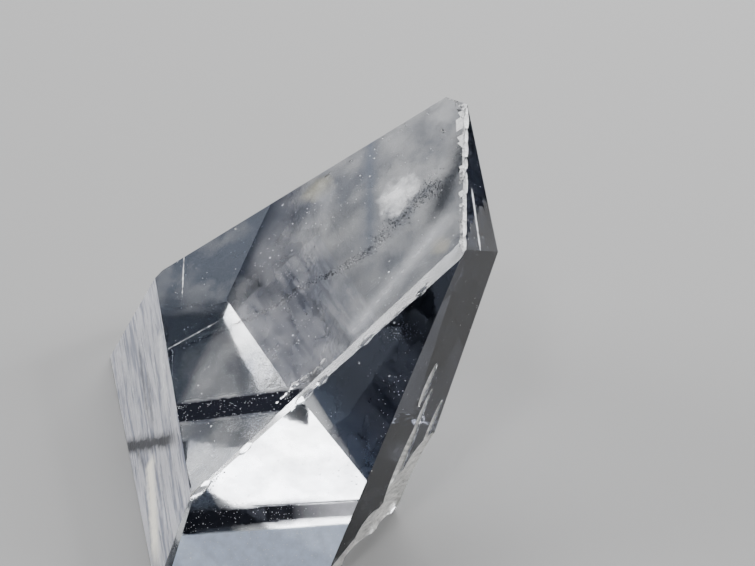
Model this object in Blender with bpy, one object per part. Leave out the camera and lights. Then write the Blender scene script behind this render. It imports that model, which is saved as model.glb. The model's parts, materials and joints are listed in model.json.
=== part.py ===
"""Quartz crystal: one clear, stubby crystal, broken off flat at its foot, on which it stands.

The crystal grew along its c axis, which leans to the right and backwards. Each face is given as on a
goniometer: its azimuth round the c axis, its slope from the c axis to the face's normal, and its
distance from the crystal's centre. All lengths below are in millimetres, and +Z is up.
"""

import math
import random
from collections import namedtuple

import bmesh
import bpy
from mathutils import Matrix, Vector

MM = 0.001
NAME = "quartz_crystal"

# Where the c axis points: how far it leans from upright, towards which heading, and the crystal's
# turn round it.
C_LEAN = 27.7
C_HEADING = 54.8
C_SPIN = 149.6

Face = namedtuple("Face", "name azimuth slope distance")

# The termination: one rhombohedral face outgrew the others.
TERMINATION = (
    Face("great_rhomb", 5.0, 60.6, 6.73),
    Face("right_rhomb", 122.4, 49.4, 25.82),
    Face("tip_side", 163.4, 71.2, 19.6),
    Face("back_rhomb", 239.8, 51.1, 24.25),
    Face("left_rhomb", 297.9, 47.8, 17.94),
)
# The prism, six walls round the c axis. The left shoulder is steeper than a true prism wall.
PRISM = (
    Face("left_wall", 353.5, 85.0, 11.69),
    Face("front_wall", 62.1, 86.1, 15.97),
    Face("right_wall", 119.5, 93.8, 17.32),
    Face("far_right_wall", 184.0, 90.5, 9.43),
    Face("back_wall", 234.4, 94.6, 21.28),
    Face("left_shoulder", 305.7, 67.0, 21.12),
)
# Where it broke off its matrix, the chip that took its tip, and the long split at the lower right.
BREAKS = (
    Face("foot", 210.4, 152.3, 12.54),
    Face("tip_chip", 202.9, 10.1, 31.62),
    Face("split", 130.5, 103.8, 17.68),
)
# The narrow strips worn along two of the ridges.
RIDGE_STRIP = Face("ridge_strip", 18.0, 63.7, 9.43)
CORNER_STRIP = Face("corner_strip", 20.5, 85.9, 16.31)

# Chips on the ridge that runs up from the foot of the great face to the point where four faces meet:
# how far along the ridge, length, width and depth.
RIDGE_CHIPS = (
    (0.97, 3.2, 1.1, 0.35),
    (0.80, 1.8, 0.7, 0.16),
    (0.585, 2.4, 1.0, 0.32),
    (0.52, 1.5, 0.8, 0.22),
    (0.36, 2.2, 0.6, 0.14),
    (0.16, 1.6, 0.7, 0.18),
)
# The crushed edge between the great face and the right rhomb: how many bites, and their size.
CRUSHED_BITES = 11
CRUSHED_LENGTH = (1.2, 2.6)
CRUSHED_WIDTH = (0.7, 1.2)
CRUSHED_DEPTH = (0.14, 0.34)
# Curved flakes lost from the right wall: place down and across the wall, length, width, depth.
WALL_FLAKES = (
    (0.43, 0.47, 5.0, 1.1, 0.30),
    (0.54, 0.58, 6.0, 0.9, 0.28),
    (0.70, 0.56, 10.0, 1.7, 0.42),
    (0.62, 0.88, 6.0, 0.9, 0.25),
)
# The split is shell-shaped: scoops along it, place down and across, length, width, depth.
SPLIT_SCOOPS = (
    (0.20, 0.45, 10.0, 6.5, 0.60),
    (0.55, 0.60, 9.0, 7.0, 0.75),
    (0.88, 0.40, 8.0, 6.0, 0.55),
)
# Flakes lost round the foot, where the crystal broke: place along each rim edge, size and depth.
FOOT_RIMS = (
    ("back_wall", "left_shoulder", "far_right_wall", 3),
    ("front_wall", "left_wall", "split", 2),
)
FOOT_FLAKE_LENGTH = (3.0, 5.5)
FOOT_FLAKE_WIDTH = (1.2, 2.2)
FOOT_FLAKE_DEPTH = (0.25, 0.5)

SCOOP_DETAIL = 3
SEED = 11
CLEAR_QUARTZ = (0.90, 0.93, 0.95, 1.0)
ROUGHNESS = 0.06
BLANK = 160.0


def clear_scene():
    """Empty the scene of objects, and of collections left by an earlier run."""
    for thing in list(bpy.data.objects):
        bpy.data.objects.remove(thing, do_unlink=True)
    for group in list(bpy.data.collections):
        bpy.data.collections.remove(group)


def new_collection(name):
    group = bpy.data.collections.new(name)
    bpy.context.scene.collection.children.link(group)
    return group


def crystal_axes():
    """The rotation from the crystal's own axes, c along Z, to the world's."""
    heading = Matrix.Rotation(math.radians(C_HEADING), 3, "Z")
    lean = Matrix.Rotation(math.radians(C_LEAN), 3, "Y")
    spin = Matrix.Rotation(math.radians(C_SPIN), 3, "Z")
    return heading @ lean @ spin


AXES = crystal_axes()
FACES = {face.name: face for face in TERMINATION + PRISM + BREAKS + (RIDGE_STRIP, CORNER_STRIP)}


def normal(name):
    """A face's outward normal in the world."""
    azimuth = math.radians(FACES[name].azimuth)
    slope = math.radians(FACES[name].slope)
    across = math.sin(slope)
    own = Vector((across * math.cos(azimuth), across * math.sin(azimuth), math.cos(slope)))
    return AXES @ own


def corner(first, second, third):
    """The point, from the crystal's centre, where three faces meet."""
    rows = Matrix((normal(first), normal(second), normal(third)))
    distances = Vector((FACES[first].distance, FACES[second].distance, FACES[third].distance))
    return rows.inverted() @ distances


def on_wall(top_left, top_right, low_left, low_right, down, across):
    """A place on a four-sided wall, from its corners and two fractions."""
    left = top_left.lerp(low_left, down)
    right = top_right.lerp(low_right, down)
    return left.lerp(right, across)


def faceted_blank():
    """A cube cut by every face's plane in turn, each cut closed again."""
    mesh = bmesh.new()
    bmesh.ops.create_cube(mesh, size=BLANK)
    for name in FACES:
        outward = normal(name)
        everything = mesh.verts[:] + mesh.edges[:] + mesh.faces[:]
        cut = bmesh.ops.bisect_plane(
            mesh, geom=everything, plane_co=outward * FACES[name].distance, plane_no=outward,
            clear_outer=True,
        )
        rim = [part for part in cut["geom_cut"] if isinstance(part, bmesh.types.BMEdge)]
        bmesh.ops.contextual_create(mesh, geom=rim)
    bmesh.ops.recalc_face_normals(mesh, faces=mesh.faces[:])
    return mesh


def link_mesh(mesh, name, group):
    data = bpy.data.meshes.new(name)
    mesh.to_mesh(data)
    mesh.free()
    thing = bpy.data.objects.new(name, data)
    group.objects.link(thing)
    return thing


def scoop(where, outward, along, size):
    """A lens-shaped cutter that bites into the crystal at a point.

    size is the bite's length, width and depth. The cutter is a sphere, flattened along the outward
    direction, and half of its thickness lies in the crystal.
    """
    length, width, depth = size
    side = outward.cross(along).normalized()
    ahead = side.cross(outward).normalized()
    mesh = bmesh.new()
    bmesh.ops.create_icosphere(mesh, subdivisions=SCOOP_DETAIL, radius=1.0)
    turn = Matrix((ahead, side, outward)).transposed().to_4x4()
    stretch = Matrix.Diagonal((length / 2, width / 2, depth, 1.0))
    bmesh.ops.transform(mesh, matrix=Matrix.Translation(where) @ turn @ stretch, verts=mesh.verts[:])
    return mesh


def ridge_cutters():
    """Chips along the long ridge, on the strip between the great face and the front wall."""
    low = corner("great_rhomb", "left_wall", "front_wall")
    high = corner("great_rhomb", "front_wall", "right_wall")
    outward = (normal("great_rhomb") + normal("front_wall")).normalized()
    surface = normal("ridge_strip")
    for place, length, width, depth in RIDGE_CHIPS:
        spot = high.lerp(low, place)
        spot = spot - surface * (spot.dot(surface) - FACES["ridge_strip"].distance)
        yield scoop(spot, outward, low - high, (length, width, depth))


def crushed_cutters(dice):
    """Small bites all along the edge between the great face and the right rhomb."""
    low = corner("great_rhomb", "right_rhomb", "right_wall")
    high = corner("great_rhomb", "right_rhomb", "tip_chip")
    outward = (normal("great_rhomb") * 1.4 + normal("right_rhomb")).normalized()
    for step in range(CRUSHED_BITES):
        place = (step + dice.uniform(0.25, 0.75)) / CRUSHED_BITES
        size = (dice.uniform(*CRUSHED_LENGTH), dice.uniform(*CRUSHED_WIDTH), dice.uniform(*CRUSHED_DEPTH))
        yield scoop(low.lerp(high, place), outward, high - low, size)


def wall_cutters():
    """The flakes of the right wall, long along the c axis."""
    top_left = corner("great_rhomb", "front_wall", "right_wall")
    top_right = corner("right_wall", "right_rhomb", "far_right_wall")
    low_left = corner("front_wall", "right_wall", "foot")
    low_right = corner("right_wall", "far_right_wall", "foot")
    outward = normal("right_wall")
    for down, across, length, width, depth in WALL_FLAKES:
        spot = on_wall(top_left, top_right, low_left, low_right, down, across)
        yield scoop(spot, outward, low_left - top_left, (length, width, depth))


def split_cutters():
    """Shell-shaped scoops that hollow the long split."""
    top = corner("right_wall", "far_right_wall", "split")
    front = corner("front_wall", "foot", "split")
    back = corner("far_right_wall", "foot", "split")
    low_front = corner("right_wall", "front_wall", "split")
    outward = normal("split")
    for down, across, length, width, depth in SPLIT_SCOOPS:
        spot = on_wall(top, top, low_front.lerp(front, 0.5), back, down, across)
        yield scoop(spot, outward, back - top, (length, width, depth))


def foot_cutters(dice):
    """Flakes lost round the rim of the broken foot."""
    for wall, before, after, count in FOOT_RIMS:
        start = corner(wall, before, "foot")
        end = corner(wall, after, "foot")
        outward = (normal(wall) + normal("foot") * 0.6).normalized()
        for step in range(count):
            spot = start.lerp(end, (step + dice.uniform(0.3, 0.7)) / count)
            size = (
                dice.uniform(*FOOT_FLAKE_LENGTH),
                dice.uniform(*FOOT_FLAKE_WIDTH),
                dice.uniform(*FOOT_FLAKE_DEPTH),
            )
            yield scoop(spot, outward, end - start, size)


def add_cutter(mesh, name, group):
    cutter = link_mesh(mesh, name, group)
    cutter.display_type = "WIRE"
    cutter.hide_render = True


def carve(crystal, cutters):
    """Take the shapes of all the cutters out of the crystal."""
    step = crystal.modifiers.new("carve", "BOOLEAN")
    step.operation = "DIFFERENCE"
    step.solver = "EXACT"
    step.operand_type = "COLLECTION"
    step.collection = cutters


def stand(crystal, cutters):
    """Scale everything to metres, the foot on the ground and the middle over the origin."""
    bpy.context.view_layer.update()
    carved = crystal.evaluated_get(bpy.context.evaluated_depsgraph_get())
    spots = [vertex.co for vertex in carved.data.vertices]
    lowest = [min(spot[axis] for spot in spots) for axis in range(3)]
    highest = [max(spot[axis] for spot in spots) for axis in range(3)]
    middle = Vector(((lowest[0] + highest[0]) / 2, (lowest[1] + highest[1]) / 2, lowest[2]))
    for thing in [crystal] + list(cutters.objects):
        thing.matrix_world = Matrix.Scale(MM, 4) @ Matrix.Translation(-middle)


def quartz_material():
    material = bpy.data.materials.new("clear_quartz")
    material.use_nodes = True
    shader = material.node_tree.nodes["Principled BSDF"]
    shader.inputs["Base Color"].default_value = CLEAR_QUARTZ
    shader.inputs["Roughness"].default_value = ROUGHNESS
    shader.inputs["Metallic"].default_value = 0.0
    return material


def build():
    clear_scene()
    parts = new_collection(NAME)
    cutters = new_collection("cutters")
    dice = random.Random(SEED)
    crystal = link_mesh(faceted_blank(), NAME, parts)
    crystal.data.materials.append(quartz_material())
    families = (
        ("ridge_chip", ridge_cutters()),
        ("crushed_bite", crushed_cutters(dice)),
        ("wall_flake", wall_cutters()),
        ("split_scoop", split_cutters()),
        ("foot_flake", foot_cutters(dice)),
    )
    for name, shapes in families:
        for shape in shapes:
            add_cutter(shape, name, cutters)
    carve(crystal, cutters)
    stand(crystal, cutters)


build()
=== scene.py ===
"""The looks of the quartz crystal: clear quartz with worn ridges, veils and dust, on a pale floor; some faces
carry painted shade, painted glints and painted light.
"""

import json
import math
import random

import bmesh
import bpy
from mathutils import Matrix, Vector, noise

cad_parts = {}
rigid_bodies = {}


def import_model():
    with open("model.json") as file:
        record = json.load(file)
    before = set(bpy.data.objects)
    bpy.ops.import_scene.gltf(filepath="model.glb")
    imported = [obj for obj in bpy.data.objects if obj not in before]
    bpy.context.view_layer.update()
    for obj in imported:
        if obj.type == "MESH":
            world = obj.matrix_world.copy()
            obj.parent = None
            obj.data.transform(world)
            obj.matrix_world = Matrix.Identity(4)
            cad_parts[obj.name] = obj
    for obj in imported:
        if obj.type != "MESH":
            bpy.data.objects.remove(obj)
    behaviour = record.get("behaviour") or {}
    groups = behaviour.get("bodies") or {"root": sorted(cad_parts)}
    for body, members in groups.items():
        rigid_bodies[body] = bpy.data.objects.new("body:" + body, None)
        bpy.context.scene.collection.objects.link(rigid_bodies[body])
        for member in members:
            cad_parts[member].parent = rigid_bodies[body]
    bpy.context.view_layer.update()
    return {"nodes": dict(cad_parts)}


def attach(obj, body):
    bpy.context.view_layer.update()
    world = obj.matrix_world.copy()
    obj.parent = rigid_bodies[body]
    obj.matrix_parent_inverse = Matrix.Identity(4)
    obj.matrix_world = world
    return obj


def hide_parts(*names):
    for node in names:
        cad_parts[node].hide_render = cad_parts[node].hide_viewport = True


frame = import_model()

MM = 0.001
SEED = 5

# The numbers of the body's materials.
GREAT, MILKY, GROWTH, FOOT, CRUSHED, FRONT, RIGHT, STRIP, FLAKE, TIP_RIGHT = range(10)

# The photograph's camera, from the crystal's own geometry: how far down it looks, its focal length in
# pixels of the 755 x 566 frame, and its place over the middle of the crystal's foot.
LOOK_DOWN = 35.05
FOCAL_PIXELS = 2000.0
FRAME_PIXELS = (755.0, 566.0)
SENSOR_WIDTH = 36.0
CAMERA_PLACE = Vector((0.00966, -0.17390, 0.14366))

# The lights: name, compass angle from straight back, height, half of the angle that it fills, all in
# degrees, and power in watts. Each stands at the same distance.
LIGHTS = (
    ("back_light", 13.0, 42.0, 25.0, 7.0),
    ("side_light", 85.0, 34.0, 7.0, 2.6),
    ("left_light", -80.0, 32.0, 14.0, 2.0),
    ("front_light", -155.0, 62.0, 5.0, 0.9),
)
LIGHT_DISTANCE = 0.5
LIGHT_AIM = Vector((0.0, 0.0, 0.015))
WORLD_COLOUR = (0.40, 0.55, 0.90, 1.0)
WORLD_STRENGTH = 0.035
FLOOR_RADIUS = 0.4
FLOOR_GAP = 0.0002
FLOOR_TONE = (0.22, 0.22, 0.22, 1.0)

# The body's surface: the grid that it is cut along, the angle from which an edge stays sharp, and how
# deep the crushed edge and the flakes are dented, in millimetres and degrees.
GRID = 0.9
SHARP_FROM = 18.0
CRUSHED_DENTS = 0.06
FLAKE_DENTS = 0.10

QUARTZ_IOR = 1.544
# White of dust specks, veils and scratches, and of painted light patches and painted glints.
WHITE_DUST_AND_PAINTED_LIGHT = (0.93, 0.94, 0.97)
# The black of the bars of painted shade; bright dots glitter in them.
BAR_SHADE_BLACK = (0.010, 0.011, 0.016)
BRIGHT_DOT = (0.95, 0.96, 1.0)

# Grains: how many are in the veil, and how large they are in millimetres.
DARK_GRAINS = 1300
DARK_GRAIN_SIZES = (0.03, 0.085)
BRIGHT_GRAINS = 420
BRIGHT_GRAIN_SIZES = (0.025, 0.06)
# The curved veil's way under the large face, in pixels of the picture, from its dense end.
VEIL_PATH = (
    (438, 178), (425, 192), (408, 204), (392, 222), (376, 244), (360, 256),
    (341, 268), (305, 284), (270, 308), (225, 328), (180, 348),
)
# More dark grains in rows on the ridge and by the tip: two pixels and a number.
DARK_ROWS = (
    ((282, 400), (322, 362), 90),
    ((194, 500), (226, 468), 60),
    ((440, 130), (446, 132), 14),
)
# More bright grains under the front wall: middle pixel, spread in pixels and number.
BRIGHT_CLUSTERS = (
    ((406, 331), (9, 6), 130),
    ((368, 455), (2.5, 7), 110),
    ((230, 505), (14, 6), 50),
)

# The outward directions of the faces that the picture shows, and of the foot.
DIRECTIONS = {
    "great": Vector((-0.577, -0.167, 0.800)),
    "left": Vector((-0.872, -0.198, 0.448)),
    "front": Vector((0.012, -0.890, 0.455)),
    "right": Vector((0.789, -0.612, -0.052)),
    "tip_right": Vector((0.808, -0.172, 0.564)),
    "ridge_strip": Vector((-0.486, -0.353, 0.799)),
    "foot": Vector((0.0, 0.0, -1.0)),
}


def set_camera():
    """Stand the camera where the photograph's stood, and make it the scene's own."""
    camera = bpy.data.cameras.new("photo_camera")
    camera.sensor_width = SENSOR_WIDTH
    camera.lens = SENSOR_WIDTH * FOCAL_PIXELS / FRAME_PIXELS[0]
    camera.clip_start = 0.01
    holder = bpy.data.objects.new("photo_camera", camera)
    holder.location = CAMERA_PLACE
    holder.rotation_euler = (math.radians(90.0 - LOOK_DOWN), 0.0, 0.0)
    bpy.context.scene.collection.objects.link(holder)
    bpy.context.scene.camera = holder


def sight_line(x, y):
    """The direction in which the camera sees a pixel of the picture."""
    right = (x - FRAME_PIXELS[0] / 2) / FOCAL_PIXELS
    up = (FRAME_PIXELS[1] / 2 - y) / FOCAL_PIXELS
    tilt = Matrix.Rotation(math.radians(90.0 - LOOK_DOWN), 3, "X")
    return (tilt @ Vector((right, up, -1.0))).normalized()


def flat_faces(mesh):
    """The plane of each named face, from the largest flat piece of the mesh that faces its way."""
    planes = {}
    for name, direction in DIRECTIONS.items():
        facing = [face for face in mesh.faces if face.normal.dot(direction.normalized()) > 0.9995]
        widest = max(facing, key=lambda face: face.calc_area())
        planes[name] = (widest.normal.copy(), widest.calc_center_median().dot(widest.normal))
    return planes


def on_face(planes, name, x, y, depth=0.0):
    """The point of a face that the picture shows at a pixel, moved inwards by depth."""
    normal, distance = planes[name]
    line = sight_line(x, y)
    reach = (distance - CAMERA_PLACE.dot(normal)) / line.dot(normal)
    return CAMERA_PLACE + line * reach - normal * depth


def softbox(name, azimuth, elevation, spread, power):
    """A square light that faces the crystal, seen from it at a compass angle and a height."""
    turn = math.radians(azimuth)
    lift = math.radians(elevation)
    level = math.cos(lift) * LIGHT_DISTANCE
    height = math.sin(lift) * LIGHT_DISTANCE
    way = Vector((level * math.sin(turn), level * math.cos(turn), height))
    light = bpy.data.lights.new(name, "AREA")
    light.shape = "SQUARE"
    light.size = 2 * LIGHT_DISTANCE * math.tan(math.radians(spread))
    light.energy = power
    holder = bpy.data.objects.new(name, light)
    holder.location = LIGHT_AIM + way
    holder.rotation_euler = (-way).to_track_quat("-Z", "Y").to_euler()
    bpy.context.scene.collection.objects.link(holder)


def set_world():
    """A dim blue sky, which the crystal reflects where it faces no lamp."""
    world = bpy.data.worlds.new("studio")
    world.use_nodes = True
    background = world.node_tree.nodes["Background"]
    background.inputs["Color"].default_value = WORLD_COLOUR
    background.inputs["Strength"].default_value = WORLD_STRENGTH
    bpy.context.scene.world = world


def make_floor():
    """A round pale floor just under the foot, which isn't part of the object."""
    bpy.ops.mesh.primitive_circle_add(
        vertices=128, radius=FLOOR_RADIUS, fill_type="NGON", location=(0.0, 0.0, -FLOOR_GAP))
    floor = bpy.context.object
    floor.name = "floor"
    material = bpy.data.materials.new("pale_floor")
    material.use_nodes = True
    shader = material.node_tree.nodes["Principled BSDF"]
    shader.inputs["Base Color"].default_value = FLOOR_TONE
    shader.inputs["Roughness"].default_value = 0.85
    floor.data.materials.append(material)


def blob(where, outward, along, size, chance):
    """A rough lens, flattened along outward; size is its length, width and depth in metres."""
    length, width, depth = size
    side = outward.cross(along).normalized()
    ahead = side.cross(outward).normalized()
    mesh = bmesh.new()
    bmesh.ops.create_icosphere(mesh, subdivisions=2, radius=1.0)
    offset = Vector((chance.uniform(0, 50), chance.uniform(0, 50), chance.uniform(0, 50)))
    for vertex in mesh.verts:
        vertex.co *= 1.0 + 0.28 * noise.noise(vertex.co * 1.7 + offset)
    turn = Matrix((ahead, side, outward)).transposed().to_4x4()
    stretch = Matrix.Diagonal((length / 2, width / 2, depth, 1.0))
    bmesh.ops.transform(mesh, matrix=Matrix.Translation(where) @ turn @ stretch, verts=mesh.verts[:])
    return mesh


def put_cutter(mesh, cutters):
    """Keep a shape among those that are taken out of the crystal."""
    data = bpy.data.meshes.new("bite")
    mesh.to_mesh(data)
    mesh.free()
    cutters.objects.link(bpy.data.objects.new("bite", data))


def bites_along(start, end, outward, count, sizes, chance, spread=0.0):
    """Small bites of mixed size scattered along a line on the crystal."""
    low, high = sizes
    for step in range(count):
        place = (step + chance.uniform(0.1, 0.9)) / count
        size = [chance.uniform(small, large) * MM for small, large in zip(low, high)]
        along = (end - start).normalized()
        side = outward.cross(along).normalized()
        where = start.lerp(end, place) + side * chance.gauss(0.0, spread) * MM
        turned = (along + side * chance.uniform(-0.8, 0.8)).normalized()
        yield blob(where, outward, turned, size, chance)


def worn_places(planes, chance):
    """The fine bites that the picture shows on the crystal's ridges and faces."""
    great = planes["great"][0]
    front = planes["front"][0]
    tip_right = planes["tip_right"][0]
    crushed = (great + tip_right).normalized()
    top = on_face(planes, "great", 463, 106)
    foot_of_edge = on_face(planes, "great", 464, 247)
    yield from bites_along(top, foot_of_edge, crushed, 46, ((0.3, 0.16, 0.05), (0.9, 0.4, 0.13)), chance)
    for high, low, count in ((168, 184, 6), (204, 212, 4), (220, 248, 12)):
        start = on_face(planes, "great", 461, high)
        end = on_face(planes, "great", 461, low)
        yield from bites_along(start, end, crushed, count, ((0.3, 0.3, 0.1), (0.7, 0.6, 0.22)), chance, 0.15)
    worn = (great + front).normalized()
    for low, high, count in (
        ((277, 402), (322, 364), 16),
        ((430, 274), (460, 254), 7),
        ((196, 497), (226, 467), 8),
    ):
        start = on_face(planes, "great", *low)
        end = on_face(planes, "great", *high)
        yield from bites_along(start, end, worn, count, ((0.25, 0.15, 0.05), (0.9, 0.4, 0.16)), chance, 0.12)
    start = on_face(planes, "great", 450, 98)
    end = on_face(planes, "great", 465, 106)
    yield from bites_along(start, end, great, 5, ((0.3, 0.2, 0.06), (0.6, 0.4, 0.12)), chance, 0.1)
    for x, y in ((383, 138), (352, 160), (330, 173), (405, 125), (428, 113), (283, 205), (236, 229)):
        yield blob(on_face(planes, "great", x, y), great, front, (0.4 * MM, 0.25 * MM, 0.08 * MM), chance)
    yield blob(on_face(planes, "great", 443, 131), great, front, (0.75 * MM, 0.4 * MM, 0.2 * MM), chance)


def carve(body, cutters):
    """Take all the cutters out of the body in one step, and delete them."""
    step = body.modifiers.new("carve", "BOOLEAN")
    step.operation = "DIFFERENCE"
    step.solver = "EXACT"
    step.operand_type = "COLLECTION"
    step.collection = cutters
    graph = bpy.context.evaluated_depsgraph_get()
    carved = bpy.data.meshes.new_from_object(body.evaluated_get(graph))
    body.modifiers.clear()
    body.data = carved
    for thing in list(cutters.objects):
        bpy.data.objects.remove(thing, do_unlink=True)
    bpy.data.collections.remove(cutters)


def dice(mesh, step):
    """Cut every face along a grid of planes into small polygons, so that its breaks can be dented."""
    for axis in range(3):
        outward = Vector((0.0, 0.0, 0.0))
        outward[axis] = 1.0
        low = min(vertex.co[axis] for vertex in mesh.verts)
        high = max(vertex.co[axis] for vertex in mesh.verts)
        place = low + step * 0.6
        while place < high:
            everything = mesh.verts[:] + mesh.edges[:] + mesh.faces[:]
            bmesh.ops.bisect_plane(mesh, geom=everything, plane_co=outward * place, plane_no=outward)
            place += step


def crystal_mesh():
    """The crystal's own solid as one closed mesh of flat faces."""
    source = frame["nodes"]["quartz_crystal"]
    mesh = bmesh.new()
    mesh.from_mesh(source.data)
    bmesh.ops.transform(mesh, matrix=source.matrix_world, verts=mesh.verts[:])
    bmesh.ops.remove_doubles(mesh, verts=mesh.verts[:], dist=0.000002)
    bmesh.ops.dissolve_limit(mesh, angle_limit=math.radians(0.2), verts=mesh.verts[:], edges=mesh.edges[:])
    return mesh


def link_piece(mesh, name):
    """Make a mesh a piece of the visual model."""
    data = bpy.data.meshes.new(name)
    mesh.to_mesh(data)
    mesh.free()
    piece = bpy.data.objects.new(name, data)
    bpy.context.scene.collection.objects.link(piece)
    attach(piece, "root")
    return piece


def face_kind(face, planes):
    """The name of the flat face that a small polygon lies on, or None if it lies in a break."""
    middle = face.calc_center_median()
    for name, (normal, distance) in planes.items():
        if face.normal.dot(normal) > 0.998 and abs(middle.dot(normal) - distance) < 0.00003:
            return name
    return None


def node(tree, kind, **settings):
    """Add a shader node with its settings."""
    made = tree.nodes.new(kind)
    for key, value in settings.items():
        setattr(made, key, value)
    return made


def millimetres(tree):
    """The place on the crystal in millimetres."""
    place = node(tree, "ShaderNodeTexCoord")
    scale = node(tree, "ShaderNodeVectorMath", operation="SCALE")
    scale.inputs["Scale"].default_value = 1000.0
    tree.links.new(place.outputs["Object"], scale.inputs[0])
    return scale.outputs[0]


def along_and_across(tree, along, across, stretch):
    """Coordinates that run slowly along one direction of the crystal and fast across it."""
    place = millimetres(tree)
    parts = []
    for direction, factor in ((along, stretch), (across, 1.0)):
        dot = node(tree, "ShaderNodeVectorMath", operation="DOT_PRODUCT")
        tree.links.new(place, dot.inputs[0])
        dot.inputs[1].default_value = direction * factor
        parts.append(dot.outputs["Value"])
    joined = node(tree, "ShaderNodeCombineXYZ")
    tree.links.new(parts[0], joined.inputs[0])
    tree.links.new(parts[1], joined.inputs[1])
    return joined.outputs[0]


def clouds(tree, place, size, detail=3.0, rough=0.55):
    """Soft noise from 0 to 1, with lumps about size millimetres wide."""
    cloud = node(tree, "ShaderNodeTexNoise")
    cloud.inputs["Scale"].default_value = 1.0 / size
    cloud.inputs["Detail"].default_value = detail
    cloud.inputs["Roughness"].default_value = rough
    tree.links.new(place, cloud.inputs["Vector"])
    return cloud.outputs["Fac"]


def between(tree, value, low, high, out_low, out_high):
    """Map a value's range to another, held at its ends."""
    ramp = node(tree, "ShaderNodeMapRange", clamp=True)
    tree.links.new(value, ramp.inputs["Value"])
    for key, number in (("From Min", low), ("From Max", high), ("To Min", out_low), ("To Max", out_high)):
        ramp.inputs[key].default_value = number
    return ramp.outputs["Result"]


def combine(tree, operation, first, second):
    """Arithmetic on two values; the second may be a number."""
    math_node = node(tree, "ShaderNodeMath", operation=operation)
    tree.links.new(first, math_node.inputs[0])
    if isinstance(second, (int, float)):
        math_node.inputs[1].default_value = second
    else:
        tree.links.new(second, math_node.inputs[1])
    return math_node.outputs[0]


def rest_of(tree, value):
    """What a value from 0 to 1 leaves of 1."""
    math_node = node(tree, "ShaderNodeMath", operation="SUBTRACT")
    math_node.inputs[0].default_value = 1.0
    tree.links.new(value, math_node.inputs[1])
    return math_node.outputs[0]


def specks(tree, size, share):
    """Scattered ragged dots: 1 in a dot and 0 between. share is the part of the cells that hold one."""
    place = millimetres(tree)
    jitter = node(tree, "ShaderNodeTexNoise")
    jitter.inputs["Scale"].default_value = 3.0 / size
    tree.links.new(place, jitter.inputs["Vector"])
    nudge = node(tree, "ShaderNodeVectorMath", operation="MULTIPLY_ADD")
    tree.links.new(jitter.outputs["Color"], nudge.inputs[0])
    nudge.inputs[1].default_value = (size * 0.5, size * 0.5, size * 0.5)
    tree.links.new(place, nudge.inputs[2])
    cells = node(tree, "ShaderNodeTexVoronoi")
    cells.inputs["Scale"].default_value = 1.0 / size
    tree.links.new(nudge.outputs[0], cells.inputs["Vector"])
    pick = node(tree, "ShaderNodeSeparateColor")
    tree.links.new(cells.outputs["Color"], pick.inputs[0])
    reach = between(tree, pick.outputs[1], 0.0, 1.0, 0.06, 0.22)
    dot = between(tree, combine(tree, "SUBTRACT", cells.outputs["Distance"], reach), -0.05, 0.02, 1.0, 0.0)
    chosen = between(tree, pick.outputs[0], 1.0 - share, 1.0 - share + 0.01, 0.0, 1.0)
    return combine(tree, "MULTIPLY", dot, chosen)


def bump(tree, height, shader, distance):
    """Relief from a height of 0 to 1, distance millimetres deep."""
    relief = node(tree, "ShaderNodeBump")
    relief.inputs["Distance"].default_value = distance * MM
    tree.links.new(height, relief.inputs["Height"])
    tree.links.new(relief.outputs["Normal"], shader.inputs["Normal"])


def quartz(name, colour, roughness=None, transmission=None):
    """A Principled quartz material; a roughness or transmission of None is linked by the caller."""
    material = bpy.data.materials.new(name)
    material.use_nodes = True
    tree = material.node_tree
    shader = tree.nodes["Principled BSDF"]
    shader.inputs["Base Color"].default_value = (*colour, 1.0)
    shader.inputs["IOR"].default_value = QUARTZ_IOR
    if roughness is not None:
        shader.inputs["Roughness"].default_value = roughness
    if transmission is not None:
        shader.inputs["Transmission Weight"].default_value = transmission
    return material, tree, shader


def offset_from(tree, point):
    """The way from a point of the crystal to the shaded place, in millimetres."""
    away = node(tree, "ShaderNodeVectorMath", operation="SUBTRACT")
    tree.links.new(millimetres(tree), away.inputs[0])
    away.inputs[1].default_value = point / MM
    return away.outputs[0]


def measure(tree, operation, vector, other=None):
    """The length of a vector, or its product with a fixed one."""
    step = node(tree, "ShaderNodeVectorMath", operation=operation)
    tree.links.new(vector, step.inputs[0])
    if other is not None:
        step.inputs[1].default_value = other
    return step.outputs["Value"]


def fade(tree, start, end):
    """0 before the start point, 1 beyond the end point."""
    along = measure(tree, "DOT_PRODUCT", offset_from(tree, start), (end - start).normalized())
    return between(tree, along, 0.0, (end - start).length / MM, 0.0, 1.0)


def wandering(tree, vector, amount):
    """The vector pushed about a little, so that a straight line drawn from it bends."""
    bend = node(tree, "ShaderNodeTexNoise")
    bend.inputs["Scale"].default_value = 0.45
    bend.inputs["Detail"].default_value = 3.0
    tree.links.new(millimetres(tree), bend.inputs["Vector"])
    push = node(tree, "ShaderNodeVectorMath", operation="MULTIPLY_ADD")
    tree.links.new(bend.outputs["Color"], push.inputs[0])
    push.inputs[1].default_value = (amount * 1.5,) * 3
    tree.links.new(vector, push.inputs[2])
    centred = node(tree, "ShaderNodeVectorMath", operation="SUBTRACT")
    tree.links.new(push.outputs[0], centred.inputs[0])
    centred.inputs[1].default_value = (amount * 0.75,) * 3
    return centred.outputs[0]


def spot(tree, middle, core, rim):
    """1 within core millimetres of a point, 0 beyond rim, with an uneven outline."""
    uneven = combine(tree, "MULTIPLY", clouds(tree, millimetres(tree), 1.6, 4.0), rim * 1.6)
    distance = measure(tree, "LENGTH", offset_from(tree, middle))
    return between(tree, combine(tree, "ADD", distance, uneven), core + rim * 0.8, rim * 1.8, 1.0, 0.0)


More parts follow.
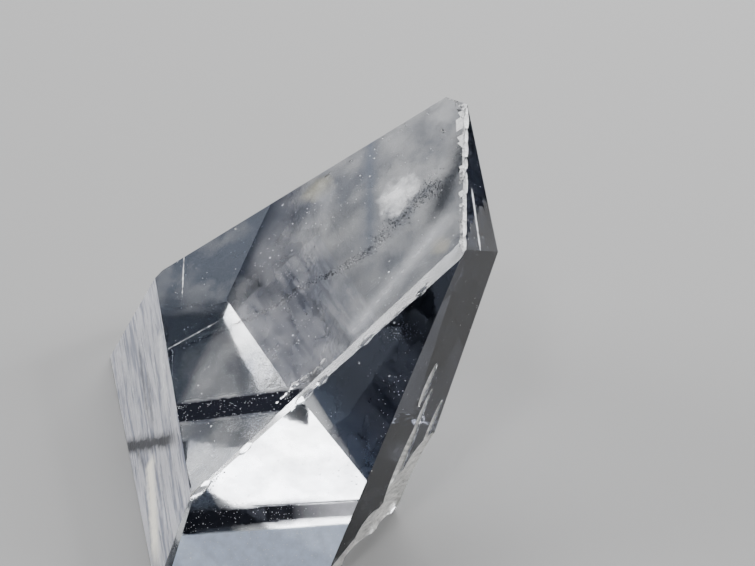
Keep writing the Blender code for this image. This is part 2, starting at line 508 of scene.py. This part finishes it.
def band(tree, start, end, width, soft, ragged):
    """1 along the straight line between two points, 0 beside it, with ragged sides and faded ends."""
    along = (end - start).normalized()
    away = offset_from(tree, start)
    cross = node(tree, "ShaderNodeVectorMath", operation="CROSS_PRODUCT")
    tree.links.new(away, cross.inputs[0])
    cross.inputs[1].default_value = along
    wander = combine(tree, "MULTIPLY", clouds(tree, millimetres(tree), 0.8, 5.0), ragged)
    away = wandering(tree, away, ragged)
    distance = combine(tree, "ADD", measure(tree, "LENGTH", cross.outputs[0]), wander)
    half = (width + ragged) / 2
    inside = between(tree, distance, half - soft, half + soft, 1.0, 0.0)
    span = (end - start).length / MM
    place = measure(tree, "DOT_PRODUCT", away, along)
    after = between(tree, place, -0.6, 0.4, 0.0, 1.0)
    before = between(tree, place, span * 0.72, span, 1.0, 0.0)
    return combine(tree, "MULTIPLY", inside, combine(tree, "MULTIPLY", after, before))


def area(tree, *parts):
    """The overlap of several masks; each part is a mask function and its values."""
    whole = None
    for shape, *values in parts:
        mask = shape(tree, *values)
        whole = mask if whole is None else combine(tree, "MULTIPLY", whole, mask)
    return whole


def mix_colour(tree, share, first, second):
    """first where share is 0 and second where it is 1; each is a colour or a socket."""
    mix = node(tree, "ShaderNodeMix", data_type="RGBA")
    tree.links.new(share, mix.inputs[0])
    for socket, value in ((mix.inputs[6], first), (mix.inputs[7], second)):
        if isinstance(value, tuple):
            socket.default_value = (*value, 1.0)
        else:
            tree.links.new(value, socket)
    return mix.outputs[2]


def polished(name, tints, waviness=0.004, dust=0.25, haze=(0.0, 0.0), rough=0.0, bars=(), shades=(),
             veils_and_painted_light=(), frosts_and_painted_light=(), clean=None, gloss=0.5):
    """A clear growth face: faintly wavy and cloudy, with specks of wear.

    bars are dark glittering bands of painted shade, shades are areas of another tint, which paint shade and
    refracted colour, veils_and_painted_light are white veils, scratches, painted light patches and painted
    glints, frosts_and_painted_light are areas with a fine coat of a colour (with how much of them it covers
    and how many dots they hold), of frosting or of painted light, and clean is an area without specks.
    """
    material, tree, shader = quartz(name, tints[0])
    shader.inputs["Specular IOR Level"].default_value = gloss
    place = millimetres(tree)
    bump(tree, clouds(tree, place, 3.5), shader, waviness)
    dots = combine(tree, "MAXIMUM", specks(tree, 0.22, dust * 0.7), specks(tree, 0.5, dust * 0.6))
    scattered = combine(tree, "MULTIPLY", dots, between(tree, clouds(tree, place, 6.0), 0.45, 0.62, 0.0, 1.0))
    if clean:
        scattered = combine(tree, "MULTIPLY", scattered, rest_of(tree, area(tree, *clean)))
    soft = clouds(tree, place, 5.0, 5.0)
    milky = combine(tree, "MAXIMUM", scattered, between(tree, soft, 0.35, 0.65, *haze))
    # White veils and scratches, and painted light patches and painted glints.
    for parts, amount in veils_and_painted_light:
        grain = between(tree, clouds(tree, place, 0.7, 8.0, 0.7), 0.3, 0.6, amount * 0.6, amount)
        milky = combine(tree, "MAXIMUM", milky, combine(tree, "MULTIPLY", area(tree, *parts), grain))
    colour = mix_colour(tree, between(tree, soft, 0.36, 0.64, 0.0, 1.0), *tints)
    # Tints of painted shade and painted refracted colour.
    for parts, tint in shades:
        colour = mix_colour(tree, area(tree, *parts), colour, tint)
    colour = mix_colour(tree, between(tree, milky, 0.05, 0.4, 0.0, 1.0), colour, WHITE_DUST_AND_PAINTED_LIGHT)
    white = milky
    # Coats of frosting, and a white coat of painted light.
    for parts, tint, cover, dotted in frosts_and_painted_light:
        coat = area(tree, *parts)
        uneven = between(tree, clouds(tree, place, 1.1, 6.0, 0.6), 0.35, 0.65, 0.8, 1.0)
        shaded = mix_colour(tree, uneven, (0.0, 0.0, 0.0), tint)
        if dotted:
            shaded = mix_colour(tree, specks(tree, 0.26, dotted), shaded, BRIGHT_DOT)
        colour = mix_colour(tree, coat, colour, shaded)
        milky = combine(tree, "MAXIMUM", milky, combine(tree, "MULTIPLY", coat, cover))
    # Near-black bands of painted shade, glittering with bright dots.
    if bars:
        dark = area(tree, (band, *bars[0]))
        for bar in bars[1:]:
            dark = combine(tree, "MAXIMUM", dark, area(tree, (band, *bar)))
        glitter = mix_colour(tree, specks(tree, 0.24, 0.8), BAR_SHADE_BLACK, BRIGHT_DOT)
        colour = mix_colour(tree, dark, colour, glitter)
        milky = combine(tree, "MAXIMUM", milky, combine(tree, "MULTIPLY", dark, 0.95))
    tree.links.new(colour, shader.inputs["Base Color"])
    tree.links.new(rest_of(tree, milky), shader.inputs["Transmission Weight"])
    smear = between(tree, clouds(tree, place, 2.2, 6.0), 0.4, 0.75, rough, rough + 0.06)
    smear = combine(tree, "MAXIMUM", smear, combine(tree, "MULTIPLY", white, 0.5))
    tree.links.new(smear, shader.inputs["Roughness"])
    return material


def fibrous(planes):
    """The left wall: milky, with fibrous streaks that run down it, a dark band of painted shade, a
    painted glint and a painted highlight along its edge by the large face.
    """
    along = planes["great"][0].cross(planes["left"][0]).normalized()
    across = planes["left"][0].cross(along).normalized()
    material, tree, shader = quartz("milky_wall", (0.86, 0.87, 0.93))
    streaked = along_and_across(tree, along, across, 0.07)
    fine = clouds(tree, streaked, 0.45, 4.0, 0.6)
    broad = clouds(tree, streaked, 1.8, 3.0)
    mixed = combine(tree, "MULTIPLY", fine, broad)
    clear = between(tree, mixed, 0.14, 0.36, 0.04, 0.60)
    # smear: a near-black band of painted shade across the wall.
    smear = area(tree, (band, *picture_band(planes, "left", (122, 448), (186, 437), 1.7, 0.5, 1.2)))
    # glint: a painted glint, a pale yellow streak down the wall.
    glint = area(tree, (band, *picture_band(planes, "left", (150, 462), (157, 575), 1.7, 0.5, 1.3)))
    for cover in (glint, smear):
        clear = combine(tree, "MULTIPLY", clear, rest_of(tree, cover))
    tree.links.new(clear, shader.inputs["Transmission Weight"])
    pale = combine(tree, "ADD", combine(tree, "MULTIPLY", fine, 0.55), combine(tree, "MULTIPLY", broad, 0.45))
    share = between(tree, pale, 0.42, 0.56, 0.0, 1.0)
    colour = mix_colour(tree, share, (0.20, 0.215, 0.28), (0.84, 0.84, 0.90))
    # A painted highlight along the wall's edge by the large face.
    painted_highlight = area(tree, (band, *picture_band(planes, "left", (160, 336), (167, 420), 1.1, 0.5, 1.2)))
    colour = mix_colour(tree, combine(tree, "MULTIPLY", painted_highlight, 0.8), colour, (0.95, 0.95, 0.98))
    for top, low, width in (
        ((139, 350), (150, 432), 0.5),
        ((147, 372), (154, 434), 0.35),
        ((132, 440), (146, 470), 0.5),
    ):
        streak = area(tree, (band, *picture_band(planes, "left", top, low, width, 0.3, 0.9)))
        colour = mix_colour(tree, combine(tree, "MULTIPLY", streak, 0.7), colour, (0.06, 0.065, 0.08))
    # Near-black painted shade in the smear, then the painted glint's pale yellow.
    colour = mix_colour(tree, smear, colour, (0.02, 0.022, 0.03))
    colour = mix_colour(tree, glint, colour, (1.0, 0.97, 0.86))
    tree.links.new(colour, shader.inputs["Base Color"])
    tree.links.new(between(tree, broad, 0.35, 0.65, 0.12, 0.42), shader.inputs["Roughness"])
    bump(tree, fine, shader, 0.05)
    return material


def broken(name, colour, transmission, roughness, grain, depth, dim, ripple=None):
    """A fracture: rough and partly white, with a fine crackled relief.

    dim is how much darker its darkest places are, a painted shade in the low places of its relief, and
    ripple is the direction across which the ripples of a shell-like break run.
    """
    material, tree, shader = quartz(name, colour)
    place = millimetres(tree)
    crackle = clouds(tree, place, grain, 8.0, 0.7)
    relief = crackle
    if ripple is not None:
        across = ripple.orthogonal().normalized()
        rings = clouds(tree, along_and_across(tree, across, ripple, 0.25), 0.5, 3.0)
        relief = combine(tree, "ADD", combine(tree, "MULTIPLY", crackle, 0.5), rings)
    # Painted shade: the colour is darker where the relief is low.
    shade = between(tree, relief, 0.35, 0.65 if ripple is None else 0.95, 0.0, 1.0)
    darker = tuple(part * dim for part in colour)
    tree.links.new(mix_colour(tree, shade, darker, colour), shader.inputs["Base Color"])
    tree.links.new(between(tree, crackle, 0.35, 0.65, *transmission), shader.inputs["Transmission Weight"])
    tree.links.new(between(tree, crackle, 0.3, 0.7, *roughness), shader.inputs["Roughness"])
    bump(tree, relief, shader, depth)
    return material


def near_line(point, start, end):
    """How far a point is from the line between two points."""
    line = end - start
    share = max(0.0, min(1.0, (point - start).dot(line) / line.length_squared))
    return (point - start - line * share).length


def dress(mesh, planes):
    """Give each polygon the number of its material."""
    top = on_face(planes, "great", 463, 103)
    low = on_face(planes, "great", 464, 249)
    numbers = {"left": MILKY, "foot": FOOT, "great": GREAT, "front": FRONT, "right": RIGHT,
               "tip_right": TIP_RIGHT, "ridge_strip": STRIP}
    for face in mesh.faces:
        middle = face.calc_center_median()
        kind = face_kind(face, planes)
        distance = near_line(middle, top, low)
        ragged = (0.16 + 0.30 * noise.noise(middle * 2500.0)) * MM
        if distance < 0.75 * MM and (kind is None or distance < ragged):
            face.material_index = CRUSHED
        elif kind is not None:
            face.material_index = numbers[kind]
        elif face.normal.dot(DIRECTIONS["right"]) > 0.6:
            face.material_index = FLAKE
        else:
            face.material_index = GROWTH


def roughen(mesh, numbers, cuts, depth):
    """Divide the polygons of some materials and dent them unevenly inwards, as real breaks are."""
    def inside(part):
        return all(face.material_index in numbers for face in part.link_faces)

    edges = [edge for edge in mesh.edges if len(edge.link_faces) == 2 and inside(edge)]
    bmesh.ops.subdivide_edges(mesh, edges=edges, cuts=cuts, use_grid_fill=True)
    mesh.normal_update()
    dents = []
    for vertex in mesh.verts:
        if vertex.link_faces and inside(vertex):
            uneven = 0.5 + 0.5 * noise.fractal(vertex.co * 1800.0, 1.0, 2.0, 3)
            dents.append((vertex, vertex.normal * depth * MM * max(0.0, min(1.0, uneven))))
    for vertex, dent in dents:
        vertex.co -= dent


def finish_body(body, planes):
    """Cut the carved body into small polygons, give them their materials and roughen its breaks."""
    mesh = bmesh.new()
    mesh.from_mesh(body.data)
    bmesh.ops.dissolve_limit(mesh, angle_limit=math.radians(0.2), verts=mesh.verts[:], edges=mesh.edges[:])
    dice(mesh, GRID * MM)
    mesh.normal_update()
    dress(mesh, planes)
    roughen(mesh, (CRUSHED,), 1, CRUSHED_DENTS)
    roughen(mesh, (FLAKE,), 2, FLAKE_DENTS)
    mesh.to_mesh(body.data)
    mesh.free()
    for polygon in body.data.polygons:
        polygon.use_smooth = True
    body.data.set_sharp_from_angle(angle=math.radians(SHARP_FROM))


def picture_band(planes, face, left, right, width, soft=0.25, ragged=0.35):
    """A band on a face between two pixels of the picture, its width in millimetres."""
    start = on_face(planes, face, *left)
    end = on_face(planes, face, *right)
    return (start, end, width, soft, ragged)


def beside(planes, face, first, second, soft):
    """The part of a face to the left of the way from one pixel to another, softened in millimetres."""
    start = on_face(planes, face, *first)
    along = on_face(planes, face, *second) - start
    side = planes[face][0].cross(along).normalized()
    return (fade, start, start + side * soft * MM)


def great_face(planes):
    """The large face: smoky clouds, a white patch of painted light, a dark wedge and dark areas of painted
    shade, a band and spots of painted refracted colour, a pale band of painted light, scratches and a dark
    bar of painted shade.
    """
    def at(*pixel):
        return on_face(planes, "great", *pixel)

    def line(left, right, width, soft, ragged=0.6):
        return (band, at(*left), at(*right), width, soft, ragged)

    # Painted shade: a dark wedge, a dark band beside the crushed edge and the dark upper left; painted
    # refracted colour: a blue-grey band, a warm spot and a cream spot.
    shades = (
        ([line((200, 236), (300, 318), 1.8, 1.2)], (0.035, 0.04, 0.055)),
        ([line((470, 130), (428, 236), 2.8, 1.0)], (0.03, 0.033, 0.04)),
        ([line((370, 140), (369, 275), 1.3, 0.9)], (0.15, 0.19, 0.28)),
        ([(spot, at(317, 190), 0.8, 2.4)], (0.62, 0.58, 0.38)),
        ([(spot, at(440, 246), 0.4, 1.5)], (0.95, 0.88, 0.72)),
        ([(fade, at(222, 330), at(212, 330)), (fade, at(170, 240), at(172, 262))], (0.06, 0.075, 0.11)),
    )
    # A white patch of painted light, a faint milky spot, a pale diagonal band of painted light, a pale spot
    # by the tip and two scratches.
    veils_and_painted_light = (
        ([(spot, at(398, 196), 1.2, 3.0)], 0.7),
        ([(spot, at(320, 195), 0.5, 3.0)], 0.25),
        ([line((350, 335), (470, 190), 1.9, 1.3)], 0.38),
        ([(spot, at(446, 112), 1.0, 3.4)], 0.18),
        ([line((166, 350), (228, 316), 0.14, 0.12, 0.35)], 0.5),
        ([line((184, 256), (182, 302), 0.10, 0.08, 0.3)], 0.9),
    )
    # A white coat of painted light over the same patch.
    frosts_and_painted_light = (([(spot, at(399, 193), 0.7, 2.6)], (0.96, 0.96, 0.98), 0.85, 0.0),)
    # The dark bar: a band of painted shade, glittering with bright dots.
    bars = (picture_band(planes, "great", (172, 414), (345, 393), 2.9, 0.35, 0.5),)
    return polished(
        "great_face", ((0.24, 0.26, 0.31), (0.78, 0.78, 0.79)), dust=0.16, haze=(0.0, 0.10), bars=bars,
        shades=shades, veils_and_painted_light=veils_and_painted_light, frosts_and_painted_light=frosts_and_painted_light)


def front_face(planes):
    """The front wall: dark slate of painted shade at its top, clear below, with a glittering bar of painted
    shade and a frosted foot.
    """
    def to(start, end):
        return (fade, on_face(planes, "front", *start), on_face(planes, "front", *end))

    # Painted shade: the dark slate beside the white window, a dark area at its left and a darker area at its
    # top.
    shades = (
        ([beside(planes, "front", (309, 398), (363, 486), 0.7)], (0.016, 0.024, 0.045)),
        ([to((232, 500), (218, 508))], (0.010, 0.014, 0.024)),
        ([to((318, 424), (352, 396)), to((392, 492), (384, 440))], (0.008, 0.010, 0.016)),
    )
    below_bar = beside(planes, "front", (380, 520), (180, 534), 0.25)
    frosts_and_painted_light = (
        ([below_bar], (0.66, 0.76, 0.95), 0.985, 0.95),
        ([(band, *picture_band(planes, "front", (262, 514), (450, 503), 1.7, 0.2, 0.2))], (0.72, 0.72, 0.78),
         0.985, 0.3),
    )
    # Bars of painted shade, glittering with bright dots.
    bars = (
        picture_band(planes, "front", (172, 523), (340, 508), 2.3, 0.4, 0.6),
        picture_band(planes, "front", (250, 506), (440, 496), 0.22, 0.1, 0.1),
    )
    clean = [to((250, 500), (252, 492)), to((345, 430), (330, 440))]
    return polished(
        "front_face", ((0.80, 0.83, 0.90), (0.90, 0.92, 0.95)), dust=0.5, bars=bars, shades=shades,
        frosts_and_painted_light=frosts_and_painted_light, clean=clean)


def tip_right_face(planes, tints):
    """The narrow face at the right of the tip: near-black tints of painted shade, with two painted glints
    as pale streaks down it.
    """
    def streak(top, low, width, amount):
        ends = (on_face(planes, "tip_right", *top), on_face(planes, "tip_right", *low))
        return ([(band, *ends, width, 0.12, 0.25)], amount)

    # Two painted glints, drawn as pale streaks.
    veils_and_painted_light = (streak((472, 190), (482, 262), 0.30, 0.75), streak((476, 120), (488, 170), 0.12, 0.5))
    # Near-black tints: painted shade.
    bluish = ((0.05, 0.06, 0.09), tints[1])
    return polished("tip_right_face", bluish, dust=0.15, gloss=0.15, veils_and_painted_light=veils_and_painted_light)


def dress_body(body, planes):
    """The body's materials, in the order of their numbers."""
    clear = ((0.72, 0.75, 0.80), (0.86, 0.88, 0.90))
    # Near-black tints of painted shade for the dark right faces.
    painted_shade_tints = ((0.003, 0.0035, 0.006), (0.010, 0.011, 0.016))
    fall = (on_face(planes, "right", 405, 470) - on_face(planes, "right", 440, 350)).normalized()
    pale = ((0.90, 0.91, 0.95), (0.95, 0.96, 0.97))
    for material in (
        great_face(planes),
        fibrous(planes),
        polished("growth_faces", clear, waviness=0.01, haze=(0.0, 0.05), rough=0.03),
        polished("foot_break", clear, waviness=0.01, haze=(0.0, 0.1), rough=0.04),
        broken("crushed_edge", (0.97, 0.97, 0.98), (0.0, 0.25), (0.4, 0.7), 0.25, 0.08, 0.55),
        front_face(planes),
        # The right face, near-black: painted shade.
        polished("dark_faces", painted_shade_tints, dust=0.12, gloss=0.15),
        polished("ridge_strip", pale, waviness=0.01, haze=(0.05, 0.3), rough=0.15),
        broken("flakes", (0.97, 0.96, 0.92), (0.0, 0.4), (0.2, 0.5), 0.5, 0.12, 0.12, fall),
        tip_right_face(planes, painted_shade_tints),
    ):
        body.data.materials.append(material)


def grain_cloud(name, spots, sizes, chance):
    """Many tiny grains as one mesh."""
    mesh = bmesh.new()
    for where in spots:
        size = chance.uniform(*sizes) * MM
        made = bmesh.ops.create_icosphere(mesh, subdivisions=1, radius=size)
        longer = [chance.uniform(0.6, 1.4) for axis in range(3)]
        stretch = Matrix.Diagonal((*longer, 1.0))
        bmesh.ops.transform(mesh, matrix=Matrix.Translation(where) @ stretch, verts=made["verts"])
    return link_piece(mesh, name)


def veil_spots(planes, count, chance):
    """Places along the curved veil under the large face, densest by the white patch of painted light."""
    for step in range(count):
        share = chance.random() ** 1.2 * (len(VEIL_PATH) - 1)
        low = int(share)
        (x, y), (next_x, next_y) = VEIL_PATH[low:low + 2]
        x += (next_x - x) * (share - low)
        y += (next_y - y) * (share - low)
        spread = 5.5 * math.exp(-share * 0.22) + 1.0
        x += chance.gauss(0.0, spread)
        y += chance.gauss(0.0, spread * 0.8)
        yield on_face(planes, "great", x, y, chance.uniform(0.06, 0.5) * MM)


def ridge_spots(planes, start, end, count, chance):
    """Places close under the large face, scattered along a line of the picture."""
    places = []
    for step in range(count):
        share = chance.random()
        x = start[0] + (end[0] - start[0]) * share + chance.gauss(0.0, 1.2)
        y = start[1] + (end[1] - start[1]) * share + chance.gauss(0.0, 1.2)
        places.append(on_face(planes, "great", x, y, 0.12 * MM))
    return places


def front_spots(planes, centre, spread, count, chance):
    """Places close under the front wall, scattered round a pixel of the picture."""
    places = []
    for step in range(count):
        x = chance.gauss(centre[0], spread[0])
        y = chance.gauss(centre[1], spread[1])
        places.append(on_face(planes, "front", x, y, 0.1 * MM))
    return places


def grain_material(name, colour, roughness):
    """A solid grain's uneven colour."""
    material = bpy.data.materials.new(name)
    material.use_nodes = True
    tree = material.node_tree
    shader = tree.nodes["Principled BSDF"]
    shader.inputs["Roughness"].default_value = roughness
    tone = clouds(tree, millimetres(tree), 0.4)
    lighter = tuple(min(1.0, part * 1.5 + 0.02) for part in colour)
    tree.links.new(mix_colour(tree, tone, colour, lighter), shader.inputs["Base Color"])
    return material


CHANCE = random.Random(SEED)
set_camera()
set_world()
make_floor()
for lamp in LIGHTS:
    softbox(*lamp)
solid = crystal_mesh()
PLANES = flat_faces(solid)
body = link_piece(solid, "crystal_body")
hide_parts("quartz_crystal")
bites = bpy.data.collections.new("bites")
for bite in worn_places(PLANES, CHANCE):
    put_cutter(bite, bites)
carve(body, bites)
dress_body(body, PLANES)
finish_body(body, PLANES)
dark_spots = list(veil_spots(PLANES, DARK_GRAINS, CHANCE))
for row in DARK_ROWS:
    dark_spots += ridge_spots(PLANES, *row, CHANCE)
dark_veil = grain_cloud("veil_dark_grains", dark_spots, DARK_GRAIN_SIZES, CHANCE)
dark_veil.data.materials.append(grain_material("dark_grain", (0.03, 0.03, 0.035), 0.4))
bright_spots = list(veil_spots(PLANES, BRIGHT_GRAINS, CHANCE))
for cluster in BRIGHT_CLUSTERS:
    bright_spots += front_spots(PLANES, *cluster, CHANCE)
bright_veil = grain_cloud("veil_bright_grains", bright_spots, BRIGHT_GRAIN_SIZES, CHANCE)
bright_veil.data.materials.append(grain_material("bright_grain", (0.9, 0.9, 0.92), 0.3))
